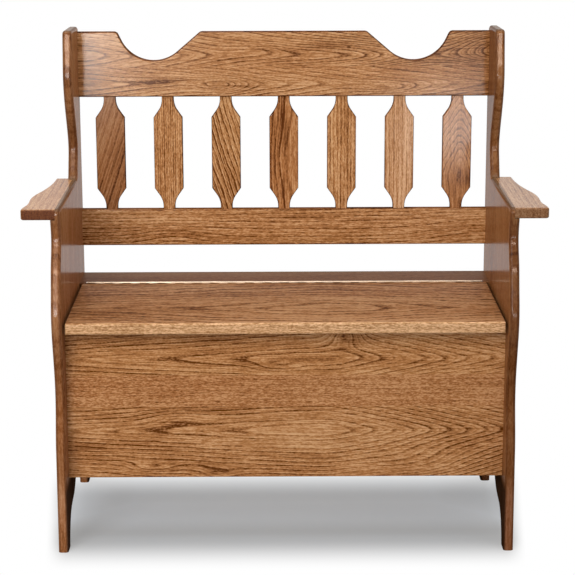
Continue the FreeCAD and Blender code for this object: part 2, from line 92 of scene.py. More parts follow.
HONEY = WoodTone((0.66, 0.385, 0.19), (0.425, 0.19, 0.066), (0.11, 0.03, 0.002))
# The lid's front edge: a lighter tone, partly its edge grain and partly a painted highlight
EDGE_AND_HIGHLIGHT = WoodTone((0.7, 0.42, 0.23), (0.48, 0.265, 0.12), (0.24, 0.1, 0.03))
BARE = WoodTone((0.66, 0.47, 0.27), (0.56, 0.37, 0.19), (0.36, 0.21, 0.1))
PLY = WoodTone((0.68, 0.45, 0.25), (0.6, 0.385, 0.2), (0.44, 0.26, 0.12))


@dataclass(frozen=True)
class RingDome:
    """A place where the log's rings bulge, which a flat cut shows as closed ovals and bent lines.

    along and across place it from the middle of the piece, half_length and half_width are its reach, and rise
    is how far it pushes the rings.
    """

    along: float
    across: float
    half_length: float
    half_width: float
    rise: float


@dataclass(frozen=True)
class BoardFigure:
    """How a board was cut from its log, which sets the figure on its faces.

    heart_width places the middle of the log across the board, and heart_depth how far behind the face it is,
    which rounds the tips of the arches. The log tapers from apex along the board, by lean towards the far end
    and by lean_back towards the near end, so the rings close into arches both ways. slant turns the grain on
    the face, in degrees. domes bend the rings, and patches darken the wood, or lighten it with a rise below
    nought.
    """

    heart_width: float = 0.3
    heart_depth: float = 0.0
    apex: float = 0.0
    lean: float = 0.0
    lean_back: float = 0.0
    ring_pitch: float = 0.008
    wander: float = 0.004
    slant: float = 0.0
    contrast: float = 1.0
    streaks: float = 0.6
    dashes: float = 0.7
    fineness: float = 1.0
    tone: WoodTone = HONEY
    seed: float = 0.0
    domes: tuple[RingDome, ...] = ()
    patches: tuple[RingDome, ...] = ()


Boards = list[tuple[float, BoardFigure]]


@dataclass(frozen=True)
class Wave:
    """A noise: its waves per metre along each axis, octaves, the levels in use and how far it reaches."""

    scale: Triple
    detail: float
    used: Range = UNIT
    reach: float = 0.0


@dataclass(frozen=True)
class Metal:
    """A metal with fine drawn lines.

    stretch is the scale of the lines along each axis, octaves their detail, dull how much rougher it is on
    them, and relief and line_depth how much they show. cloud places its darker patches, and shade is their
    share of the colour.
    """

    name: str
    colour: Colour
    roughness: float
    stretch: Triple
    octaves: float = 3.0
    lines_used: Range = (0.3, 0.7)
    dull: float = 0.16
    relief: float = 0.12
    line_depth: float = 0.0001
    cloud: Wave = Wave((30.0, 30.0, 30.0), 2.0, (0.35, 0.65))
    shade: float = 0.78


class NodeMaker:
    """Adds shader nodes to one tree and joins them."""

    # Places of a Mix node's colour sockets
    MIX_COLOURS = (6, 7)
    MIX_RESULT = 2

    def __init__(self, tree: bpy.types.NodeTree) -> None:
        """Keeps the tree that the nodes go into."""
        self.tree = tree

    def feed(self, socket: Socket, source: object) -> None:
        """Joins a socket to another, or sets its number or colour.

        Args:
            socket: The input to feed.
            source: An output socket, a number or a tuple.
        """
        if isinstance(source, Socket):
            self.tree.links.new(source, socket)
        elif socket.type == "RGBA":
            socket.default_value = (*source, 1.0)
        else:
            socket.default_value = source

    def fill(self, node: bpy.types.Node, sources: Sources) -> None:
        """Feeds inputs of a node by their names."""
        for name, source in sources.items():
            self.feed(node.inputs[name], source)

    def node(self, kind: str, *inputs: object, **settings: object) -> bpy.types.Node:
        """Adds a node, sets its own properties and feeds its first inputs.

        Args:
            kind: Blender's name of the node type.
            *inputs: Sockets, numbers or tuples, in the order of the inputs.
            **settings: Property names and values.

        Returns:
            The new node.
        """
        made = self.tree.nodes.new(kind)
        for name, value in settings.items():
            setattr(made, name, value)
        for socket, source in zip(made.inputs, inputs):
            self.feed(socket, source)
        return made

    def output(self, kind: str, shader: bpy.types.Node) -> None:
        """Joins a shader to a new output node."""
        self.fill(self.node(kind), {"Surface": shader.outputs[0]})

    def math(self, operation: str, *inputs: object) -> Socket:
        """Adds a Math node and gives its value."""
        return self.node("ShaderNodeMath", *inputs, operation=operation).outputs[0]

    def blend(self, share: object, first: object, second: object) -> Socket:
        """Blends two values by a share of the second."""
        return self.math("MULTIPLY_ADD", self.math("SUBTRACT", second, first), share, first)

    def spread(self, value: object, source: Range, target: Range = UNIT, curve: str = "LINEAR") -> Socket:
        """Maps one range onto another, clamped, and gives the mapped value."""
        ends = (*source, *target)
        return self.node("ShaderNodeMapRange", value, *ends, clamp=True, interpolation_type=curve).outputs[0]

    def join(self, x: object, y: object, z: object) -> Socket:
        """Joins three values into a vector."""
        return self.node("ShaderNodeCombineXYZ", x, y, z).outputs[0]

    def split(self, vector: object) -> list[Socket]:
        """Splits a vector into its three values."""
        return list(self.node("ShaderNodeSeparateXYZ", vector).outputs)

    def scaled(self, vector: object, scale: object) -> Socket:
        """Multiplies a vector by another, part by part."""
        return self.node("ShaderNodeVectorMath", vector, scale, operation="MULTIPLY").outputs[0]

    def moved(self, vector: object, by: object) -> Socket:
        """Adds two vectors."""
        return self.node("ShaderNodeVectorMath", vector, by, operation="ADD").outputs[0]

    def noise(self, vector: object, scale: Triple, detail: float) -> Socket:
        """Adds a noise with its own scale along each axis.

        Args:
            vector: Where it is read.
            scale: Waves per metre along each axis.
            detail: Octaves.

        Returns:
            Its value, about 0 to 1.
        """
        made = self.node("ShaderNodeTexNoise", noise_dimensions="3D")
        self.fill(made, {"Vector": self.scaled(vector, scale), "Scale": 1.0, "Detail": detail})
        return made.outputs["Fac"]

    def wave(self, vector: object, wave: Wave, target: Range = UNIT) -> Socket:
        """Adds a wave and gives its value over the target range."""
        return self.spread(self.noise(vector, wave.scale, wave.detail), wave.used, target)

    def ramp(self, value: object, stops: tuple[Range, ...]) -> Socket:
        """Adds a ramp of grey levels.

        Args:
            value: Where the ramp is read.
            stops: Places and levels, in order.

        Returns:
            The level.
        """
        made = self.node("ShaderNodeValToRGB", value)
        elements = made.color_ramp.elements
        while len(elements) < len(stops):
            elements.new(0.5)
        for element, (place, level) in zip(elements, stops):
            element.position = place
            element.color = (level, level, level, 1.0)
        return made.outputs[0]

    def mix(self, factor: object, first: object, second: object, blend: str = "MIX") -> Socket:
        """Mixes two colours.

        Args:
            factor: Share of the second.
            first: The first colour.
            second: The second colour.
            blend: Blend mode.

        Returns:
            The mixed colour.
        """
        made = self.node("ShaderNodeMix", factor, data_type="RGBA", blend_type=blend)
        for place, colour in zip(self.MIX_COLOURS, (first, second)):
            self.feed(made.inputs[place], colour)
        return made.outputs[self.MIX_RESULT]


class Surface(NodeMaker):
    """The nodes of one material."""

    def __init__(self, name: str) -> None:
        """Starts the material.

        Args:
            name: Its name.
        """
        self.material = bpy.data.materials.new(name)
        self.material.use_nodes = True
        self.material.node_tree.nodes.clear()
        super().__init__(self.material.node_tree)
        self.read = self.node("ShaderNodeTexCoord").outputs

    def place(self) -> list[Socket]:
        """Gives where a point of the piece is."""
        return self.split(self.read["Object"])

    def normal(self) -> list[Socket]:
        """Gives which way its face looks."""
        return self.split(self.read["Normal"])

    def finish(self, settings: Sources, height: Socket, relief: float, depth: float) -> bpy.types.Material:
        """Adds a Principled shader with a fine relief.

        Args:
            settings: What feeds its sockets, by their names.
            height: The relief, 0 to 1.
            relief: Its strength.
            depth: Its whole height.

        Returns:
            The finished material.
        """
        bump = self.node("ShaderNodeBump")
        self.fill(bump, {"Strength": relief, "Distance": depth, "Height": height})
        shader = self.node("ShaderNodeBsdfPrincipled")
        self.fill(shader, {**settings, "Normal": bump.outputs[0]})
        self.output("ShaderNodeOutputMaterial", shader)
        return self.material


@dataclass(frozen=True)
class FaceTint:
    """A multiplied colour on the faces that look one way, such as a rounded front edge.

    Where fade is given, the tint is full below the first height and none above the second.
    """

    side: Side
    factor: Colour
    fade: Range | None = None
    FACING = (0.3, 0.9)

    def mask(self, make: Surface) -> Socket:
        """Adds where the tint lies.

        Args:
            make: The material's nodes.

        Returns:
            The mask.
        """
        axis, sign = self.side.value
        mask = make.spread(make.math("MULTIPLY", make.normal()[axis.value], sign), self.FACING)
        if self.fade is None:
            return mask
        level = make.place()[Axis.Z.value]
        return make.math("MULTIPLY", mask, make.spread(level, self.fade, DOWN))


@dataclass(frozen=True)
class ArrisTint:
    """A multiplied colour on the rounded corners round the faces that look along an axis.

    Below one it is painted shade, where the rounds turn away from the light, and above one stain that is
    rubbed thin.
    """

    axis: Axis
    factor: Colour
    EDGE_END = (0.15, 0.35)
    FACE_START = (0.88, 0.98)

    def mask(self, make: Surface) -> Socket:
        """Adds where the tint lies.

        Args:
            make: The material's nodes.

        Returns:
            The mask.
        """
        turned = make.math("ABSOLUTE", make.normal()[self.axis.value])
        off_face = make.spread(turned, self.FACE_START, DOWN)
        return make.math("MULTIPLY", make.spread(turned, self.EDGE_END), off_face)


Tints = tuple[FaceTint | ArrisTint, ...]


@dataclass(frozen=True)
class Lacquer:
    """A clear finish on wood.

    roughness and shine are those of the wood under it, coat and coat_roughness those of the coat, and relief
    is how much the pores show. With a broad_axis, the coat is full on the faces that look along it, edge_coat
    on the edges and at least top_coat on level tops. Below worn_below, where it is above nought, the full
    coat fades out, and below edge_worn_below that of the edges.
    """

    roughness: float = 0.5
    shine: float = 0.0
    coat: float = 0.16
    coat_roughness: float = 0.13
    relief: float = 0.3
    broad_axis: Axis | None = None
    edge_coat: float = 0.0
    top_coat: float = 0.0
    worn_below: float = 0.0
    edge_worn_below: float = 0.0
    BROAD_FACE = (0.5, 0.95)
    LEVEL_TOP = (0.8, 0.98)
    FADE = 0.06
    EDGE_FADE = 0.05

    def weight(self, make: Surface) -> Socket | float:
        """Adds how thick the coat is: by which way a face looks, and less where hands and feet have worn it.

        Args:
            make: The material's nodes.

        Returns:
            The coat's weight, a plain number where it is the same all over.
        """
        if self.broad_axis is None:
            return self.coat
        normal = make.normal()
        level = make.place()[Axis.Z.value]
        broad = make.spread(make.math("ABSOLUTE", normal[self.broad_axis.value]), self.BROAD_FACE)
        edge: Socket | float = self.edge_coat
        if self.worn_below > 0.0:
            kept = make.spread(level, (self.worn_below - self.FADE, self.worn_below))
            broad = make.math("MULTIPLY", broad, kept)
        if self.edge_worn_below > 0.0:
            worn = (self.edge_worn_below - self.EDGE_FADE, self.edge_worn_below)
            edge = make.spread(level, worn, (0.0, self.edge_coat))
        top = make.spread(normal[Axis.Z.value], self.LEVEL_TOP, (0.0, self.top_coat))
        return make.math("MAXIMUM", make.blend(broad, edge, self.coat), top)


FRONT_SATIN = Lacquer(broad_axis=Axis.Y)
CREST_SATIN = Lacquer(broad_axis=Axis.Y, coat=0.27, coat_roughness=0.19)
ARM_SATIN = Lacquer(broad_axis=Axis.Z, shine=0.1, coat=0.5, coat_roughness=0.2)
PANEL_SATIN = Lacquer(
    broad_axis=Axis.X, coat=0.36, coat_roughness=0.17, edge_coat=0.17, top_coat=0.42, worn_below=0.2,
    edge_worn_below=0.46,
)
SEAT_SATIN = Lacquer(roughness=0.55, shine=0.06, coat=0.06, coat_roughness=0.2)
SANDED = Lacquer(roughness=0.72, shine=0.3, coat=0.0, relief=0.2)


class NodeGroup(NodeMaker):
    """The nodes of a shader node group."""

    def __init__(self, name: str, inputs: dict[str, str], outputs: dict[str, str]) -> None:
        """Starts the group.

        Args:
            name: Its name.
            inputs: The name and kind of each input.
            outputs: The name and kind of each output.
        """
        super().__init__(bpy.data.node_groups.new(name, "ShaderNodeTree"))
        for way, sockets in (("INPUT", inputs), ("OUTPUT", outputs)):
            for socket, kind in sockets.items():
                self.tree.interface.new_socket(socket, in_out=way, socket_type="NodeSocket" + kind)
        self.given = self.node("NodeGroupInput").outputs


class RingDomeGroup(NodeGroup):
    """The node group that gives one bulge of the rings."""

    VALUES = ("Along", "Across", "Half length", "Half width", "Rise")

    def __init__(self) -> None:
        """Builds the group once."""
        values = dict.fromkeys(self.VALUES, "Float")
        super().__init__("Ring dome", {"Position": "Vector", **values}, {"Swell": "Float"})
        given = self.given
        length, width, _ = self.split(given["Position"])
        far = self.math("DIVIDE", self.math("SUBTRACT", length, given["Along"]), given["Half length"])
        side = self.math("DIVIDE", self.math("SUBTRACT", width, given["Across"]), given["Half width"])
        squares = self.math("ADD", self.math("MULTIPLY", far, far), self.math("MULTIPLY", side, side))
        fall = self.math("EXPONENT", self.math("MULTIPLY", squares, -1.0))
        self.node("NodeGroupOutput", self.math("MULTIPLY", fall, given["Rise"]))


class OakFigureGroup(NodeGroup):
    """The node group that draws the figure of a sawn oak board, shared by every wooden piece."""

    # What the group takes of a board's cut
    CUT = ("heart_width", "heart_depth", "apex", "lean", "lean_back", "ring_pitch", "wander")
    CUT += ("contrast", "streaks", "dashes", "fineness", "seed")

    # How far a seed moves the waves
    SEED_STEP = 3.17
    SEED_STEP_ACROSS = 0.61

    # Waves of the wood, with how far each swings it from light to dark
    DASH = Wave((70.0, 430.0, 430.0), 1.0, (0.38, 0.62), 0.4)
    FLECK = Wave((180.0, 400.0, 400.0), 1.0, (0.36, 0.64), 0.34)
    STREAK = Wave((9.0, 300.0, 300.0), 2.0, (0.36, 0.64), 0.5)
    BROAD = Wave((1.6, 12.0, 12.0), 2.0, (0.32, 0.68), 0.16)
    CLOUD = Wave((9.0, 30.0, 30.0), 2.0, (0.32, 0.68), 0.14)
    PORE = Wave((60.0, 1100.0, 1100.0), 1.0, (0.52, 0.7), 0.1)

    # How dashes and flecks break the bands, how dark bands and ground are, and how streaks show in patches
    BROKEN_BASE = 0.56
    BROKEN_DASH = 0.32
    BROKEN_FLECK = 0.42
    BAND_GAIN = 0.9
    GROUND = 0.12
    PATCH_BASE = 0.6
    PATCH_STREAK = 0.6

    # Darkness from the light tone to the main one and on to the dark one, and the warmer broad patches
    LIGHT_TO_MAIN = (-0.12, 0.32)
    MAIN_TO_DARK = (0.32, 1.0)
    WARM_SHARE = 0.35
    WARM_TINT: Colour = (1.0, 0.88, 0.78)

    # The log: the ease of its taper at the apex, and how its rings drift, ripple and vary in width
    EASE = 0.05
    DRIFT = Wave((3.2, 11.0, 11.0), 2.0, reach=3.0)
    RIPPLE = Wave((18.0, 60.0, 60.0), 2.0, reach=0.7)
    UNEVEN = Wave((0.6, 22.0, 22.0), 1.0, reach=0.8)

    # Each ring: its dark band, a fainter second one, and how its strength varies by ring and by place
    BAND = ((0.0, 0.5), (0.05, 1.0), (0.2, 0.85), (0.36, 0.3), (0.52, 0.06), (0.94, 0.0), (1.0, 0.5))
    SECOND_PER_RING = 2.0
    SECOND_SHIFT = 0.9
    SECOND_SHARE = 0.42
    RING_START = 0.03
    RING_STRENGTH = (0.5, 1.1)
    PLACE = Wave((2.6, 9.0, 9.0), 1.0, (0.34, 0.62))
    PLACE_STRENGTH = (0.5, 1.05)

    def __init__(self) -> None:
        """Builds the group once: the log's rings first, then streaks, pores and broad colour."""
        names = [name.replace("_", " ").capitalize() for name in self.CUT]
        values = dict.fromkeys(("Swell", "Shade", *names), "Float")
        colours = dict.fromkeys(("Light", "Main", "Dark"), "Color")
        outputs = {"Color": "Color", "Height": "Float", "Dullness": "Float"}
        super().__init__("Oak figure", {"Position": "Vector", **values, **colours}, outputs)
        given = self.given
        seed = self.math("MULTIPLY", given["Seed"], self.SEED_STEP)
        across = self.math("MULTIPLY", seed, self.SEED_STEP_ACROSS)
        place = self.moved(given["Position"], self.join(seed, across, seed))
        finer = given["Fineness"]
        fine = self.scaled(place, self.join(self.math("SQRT", finer), finer, finer))
        dash, fleck, streak = (self.wave(fine, wave) for wave in (self.DASH, self.FLECK, self.STREAK))
        broad, cloud, pore = (self.wave(place, wave) for wave in (self.BROAD, self.CLOUD, self.PORE))
        dashed = self.math("MULTIPLY_ADD", dash, self.BROKEN_DASH, self.BROKEN_BASE)
        broken = self.math("MULTIPLY_ADD", fleck, self.BROKEN_FLECK, dashed)
        lined = self.math("MULTIPLY", self.rings(place), broken)
        bands = self.math("MULTIPLY", lined, given["Contrast"])
        dark = self.math("MULTIPLY_ADD", bands, self.BAND_GAIN, self.GROUND)
        swings = (
            (streak, given["Streaks"], self.STREAK),
            (dash, given["Dashes"], self.DASH),
            (fleck, given["Dashes"], self.FLECK),
            (broad, 1.0, self.BROAD),
            (cloud, 1.0, self.CLOUD),
        )
        for value, share, wave in swings:
            centred = self.math("MULTIPLY", self.math("SUBTRACT", value, 0.5), share)
            dark = self.math("MULTIPLY_ADD", centred, wave.reach, dark)
        patch = self.math("MULTIPLY_ADD", streak, self.PATCH_STREAK, self.PATCH_BASE)
        dark = self.math("MULTIPLY_ADD", given["Shade"], patch, dark)
        dark = self.math("MULTIPLY_ADD", pore, self.PORE.reach, dark)
        tinted = self.mix(self.spread(dark, self.LIGHT_TO_MAIN), given["Light"], given["Main"])
        coloured = self.mix(self.spread(dark, self.MAIN_TO_DARK), tinted, given["Dark"])
        warmed = self.mix(self.math("MULTIPLY", broad, self.WARM_SHARE), coloured, self.WARM_TINT, "MULTIPLY")
        sunk = self.math("ADD", self.math("MULTIPLY", pore, 0.5), self.math("MULTIPLY", lined, 0.5))
        self.node("NodeGroupOutput", warmed, self.math("SUBTRACT", 1.0, sunk), sunk)

    def rings(self, place: Socket) -> Socket:
        """Adds the rings of the log: their count from the distance to its heart, and their dark bands.

        Args:
            place: The position, moved by the board's seed.

        Returns:
            How dark the band is there.
        """
        given = self.given
        length, width, depth = self.split(given["Position"])
        along = self.math("SUBTRACT", length, given["Apex"])
        eased = self.math("SQRT", self.math("MULTIPLY_ADD", along, along, self.EASE * self.EASE))
        lean = self.blend(self.spread(along, (-self.EASE, self.EASE)), given["Lean back"], given["Lean"])
        taper = self.math("MULTIPLY", self.math("SUBTRACT", eased, self.EASE), lean)
        off_depth = self.math("ADD", depth, given["Heart depth"])
        off_width = self.math("SUBTRACT", width, given["Heart width"])
        squares = self.math("ADD", self.math("POWER", off_width, 2.0), self.math("POWER", off_depth, 2.0))
        radius = self.math("ADD", self.math("ADD", self.math("SQRT", squares), taper), given["Swell"])
        shifts = []
        for wave in (self.DRIFT, self.RIPPLE):
            centred = self.math("SUBTRACT", self.noise(place, wave.scale, wave.detail), 0.5)
            shifts.append(self.math("MULTIPLY", centred, self.math("MULTIPLY", given["Wander"], wave.reach)))
        wandered = self.math("ADD", radius, self.math("ADD", *shifts))
        count = self.math("DIVIDE", wandered, given["Ring pitch"])
        varied = self.noise(place, self.UNEVEN.scale, self.UNEVEN.detail)
        uneven = self.math("MULTIPLY_ADD", varied, self.UNEVEN.reach, count)
        doubled = self.math("MULTIPLY_ADD", uneven, self.SECOND_PER_RING, self.SECOND_SHIFT)
        first, second = (self.ramp(self.math("FRACT", value), self.BAND) for value in (uneven, doubled))
        band = self.math("MAXIMUM", first, self.math("MULTIPLY", second, self.SECOND_SHARE))
        ring = self.node("ShaderNodeTexWhiteNoise", noise_dimensions="1D")
        self.fill(ring, {"W": self.math("FLOOR", self.math("ADD", uneven, self.RING_START))})
        strength = self.spread(ring.outputs["Value"], UNIT, self.RING_STRENGTH)
        patch = self.wave(place, self.PLACE, self.PLACE_STRENGTH)
        return self.math("MULTIPLY", self.math("MULTIPLY", band, strength), patch)


class Finisher:
    """Makes the materials of the bench and lays them on its nodes."""

    # How much duller sunk grain is, and how deep it is
    DULL_GAIN = 0.22
    GRAIN_DEPTH = 0.0003

    def __init__(self) -> None:
        """Builds the shared groups."""
        self.oak = OakFigureGroup()
        self.dome = RingDomeGroup()
        self.nodes: dict[str, bpy.types.Object] = frame["nodes"]

    def lay(self, node: str, material: bpy.types.Material) -> None:
        """Puts a material on every slot of a node.

        Args:
            node: The node's name.
            material: The material.
        """
        mesh = self.nodes[node].data
        if not mesh.materials:
            mesh.materials.append(material)
        for index in range(len(mesh.materials)):
            mesh.materials[index] = material

    def figured(self, make: Surface, axes: BoardAxes, centre: Vector, figure: BoardFigure) -> bpy.types.Node:
        """Places the oak group for one board.

        Args:
            make: The material's nodes.
            axes: The board's axes.
            centre: The board's middle.
            figure: The board's cut.

        Returns:
            The group node.
        """
        parts = make.split(make.moved(make.read["Object"], tuple(-value for value in centre)))
        length, width, depth = (parts[place] for place in axes.places())
        turn = math.radians(figure.slant)
        turned = make.math("MULTIPLY", width, math.sin(turn))
        along = make.math("MULTIPLY_ADD", length, math.cos(turn), turned)
        crossed = make.math("MULTIPLY", length, -math.sin(turn))
        across = make.math("MULTIPLY_ADD", width, math.cos(turn), crossed)
        place = make.join(along, across, depth)
        swell, shade = (self.bulges(make, place, domes) for domes in (figure.domes, figure.patches))
        cut = [getattr(figure, name) for name in self.oak.CUT]
        inputs = (place, swell, shade, *cut, *astuple(figure.tone))
        return make.node("ShaderNodeGroup", *inputs, node_tree=self.oak.tree)

    def bulges(self, make: Surface, place: Socket, domes: tuple[RingDome, ...]) -> Socket | float:
        """Adds up some bulges.

        Args:
            make: The material's nodes.
            place: The position on the board.
            domes: The bulges.

        Returns:
            Their sum, a plain nought where there are none.
        """
        total: Socket | float = 0.0
        for dome in domes:
            bulge = make.node("ShaderNodeGroup", place, *astuple(dome), node_tree=self.dome.tree)
            total = make.math("ADD", bulge.outputs["Swell"], total)
        return total

    def wood(
        self, name: str, axes: BoardAxes, centre: Vector, boards: Boards, lacquer: Lacquer, tints: Tints = ()
    ) -> bpy.types.Material:
        """Makes the material of a wooden piece, glued up from one board or more across its width.

        Args:
            name: The material's name.
            axes: The piece's axes.
            centre: The piece's middle.
            boards: For each board, where it starts across the width, from the low side, and its figure.
            lacquer: The finish.
            tints: Colours of faces that look one way, and of rounded corners.

        Returns:
            The material.
        """
        make = Surface(name)
        groups = [self.figured(make, axes, centre, figure) for _, figure in boards]
        colour, height, dull = groups[0].outputs
        across = make.place()[axes.places()[1]]
        for (start, _), group in zip(boards[1:], groups[1:]):
            past = make.math("GREATER_THAN", across, start)
            colour = make.mix(past, colour, group.outputs[0])
            height = make.blend(past, height, group.outputs[1])
            dull = make.blend(past, dull, group.outputs[2])
        for tint in tints:
            colour = make.mix(tint.mask(make), colour, tint.factor, "MULTIPLY")
        dullest = lacquer.roughness + self.DULL_GAIN
        settings = {
            "Base Color": colour,
            "Roughness": make.spread(dull, UNIT, (lacquer.roughness, dullest)),
            "Specular IOR Level": lacquer.shine,
            "Coat Weight": lacquer.weight(make),
            "Coat Roughness": lacquer.coat_roughness,
        }
        return make.finish(settings, height, lacquer.relief, self.GRAIN_DEPTH)

    def metal(self, metal: Metal) -> bpy.types.Material:
        """Makes the material of a metal.

        Args:
            metal: The metal.

        Returns:
            The material.
        """
        make = Surface(metal.name)
        position = make.read["Object"]
        lines = make.noise(position, metal.stretch, metal.octaves)
        darker = tuple(value * metal.shade for value in metal.colour)
        rougher = (metal.roughness, metal.roughness + metal.dull)
        settings = {
            "Base Color": make.mix(make.wave(position, metal.cloud), metal.colour, darker),
            "Roughness": make.spread(lines, metal.lines_used, rougher),
            "Metallic": 1.0,
        }
        return make.finish(settings, lines, metal.relief, metal.line_depth)

    def board(
        self, node: str, axes: BoardAxes, figure: BoardFigure, lacquer: Lacquer, tints: Tints = ()
    ) -> None:
        """Dresses a node that is one board with its figure, finish and tints."""
        low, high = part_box(node)
        self.lay(node, self.wood("oak " + node, axes, (low + high) / 2, [(0.0, figure)], lacquer, tints))


@dataclass
class EndPanels:
    """The two shaped ends, each a wide upright board."""

    left: BoardFigure = BoardFigure(
        ring_pitch=0.014, contrast=0.5, streaks=0.4, dashes=0.4, tone=HONEY.scaled(0.66, 0.6, 0.58), seed=1.3
    )
    right: BoardFigure = BoardFigure(
        ring_pitch=0.014, contrast=0.5, streaks=0.4, dashes=0.4, tone=HONEY.scaled(0.6, 0.53, 0.48), seed=2.6
    )
    left_tints: Tints = (
        FaceTint(Side.FRONT, (0.84, 0.78, 0.74)),
        FaceTint(Side.FRONT, (0.72, 0.66, 0.6), (0.84, 0.9)),
        FaceTint(Side.FRONT, (1.47, 1.6, 1.76), (0.68, 0.72)),
        FaceTint(Side.FRONT, (0.87, 0.816, 0.8), (0.4, 0.54)),
        # Painted sheen: the front edges of the feet are lighter and bluer
        FaceTint(Side.FRONT, (1.35, 1.5, 1.8), (0.11, 0.17)),
        # Painted shade and grey sheen on the panel's top
        FaceTint(Side.TOP, (0.5, 0.6, 0.8)),
        FaceTint(Side.RIGHT, (1.16, 1.18, 1.24)),
        FaceTint(Side.RIGHT, (0.88, 0.78, 0.72), (0.56, 0.84)),
        # Painted shade on the inner faces of the feet, below the box
        FaceTint(Side.RIGHT, (0.16, 0.18, 0.25), (0.13, 0.17)),
        # Painted shade on the rounded corners of the panel's edges
        ArrisTint(Axis.X, (0.66, 0.62, 0.6)),
    )
    right_tints: Tints = (
        FaceTint(Side.FRONT, (0.82, 0.76, 0.7)),
        FaceTint(Side.FRONT, (0.62, 0.54, 0.46), (0.64, 0.8)),
        FaceTint(Side.FRONT, (1.05, 1.12, 1.34), (0.36, 0.4)),
        # Painted sheen: the front edges of the feet are lighter and bluer
        FaceTint(Side.FRONT, (1.4, 1.5, 2.0), (0.11, 0.17)),
        # Painted shade and grey sheen on the panel's top
        FaceTint(Side.TOP, (0.5, 0.6, 0.8)),
        FaceTint(Side.LEFT, (0.64, 0.56, 0.53)),
        FaceTint(Side.LEFT, (1.3, 1.36, 1.35), (0.72, 0.84)),
        # Painted shade on the inner faces of the feet, below the box
        FaceTint(Side.LEFT, (0.16, 0.18, 0.25), (0.13, 0.17)),
        # Painted shade on the rounded corners of the panel's edges
        ArrisTint(Axis.X, (0.72, 0.68, 0.64)),
    )

    def dress(self, finish: Finisher) -> None:
        """Lays the wood on both ends."""
        upright = BoardAxes.LENGTH_Z_WIDTH_Y
        finish.board("left_end_panel", upright, self.left, PANEL_SATIN, self.left_tints)
        finish.board("right_end_panel", upright, self.right, PANEL_SATIN, self.right_tints)
        LOG.info("end panels dressed")


@dataclass
class Arms:
    """The two flat arms, with their grain from front to back."""

    left: BoardFigure = BoardFigure(
        contrast=0.6, ring_pitch=0.012, tone=HONEY.scaled(0.74, 0.7, 0.64), seed=3.1
    )
    right: BoardFigure = BoardFigure(
        contrast=0.6, ring_pitch=0.012, tone=HONEY.scaled(0.68, 0.7, 0.75), seed=4.4
    )
    left_end: FaceTint = FaceTint(Side.FRONT, (0.31, 0.175, 0.1))
    right_end: FaceTint = FaceTint(Side.FRONT, (0.66, 0.6, 0.58))

    def dress(self, finish: Finisher) -> None:
        """Lays the wood on both arms."""
        finish.board("left_arm", BoardAxes.LENGTH_Y_WIDTH_X, self.left, ARM_SATIN, (self.left_end,))
        finish.board("right_arm", BoardAxes.LENGTH_Y_WIDTH_X, self.right, ARM_SATIN, (self.right_end,))
        LOG.info("arms dressed")


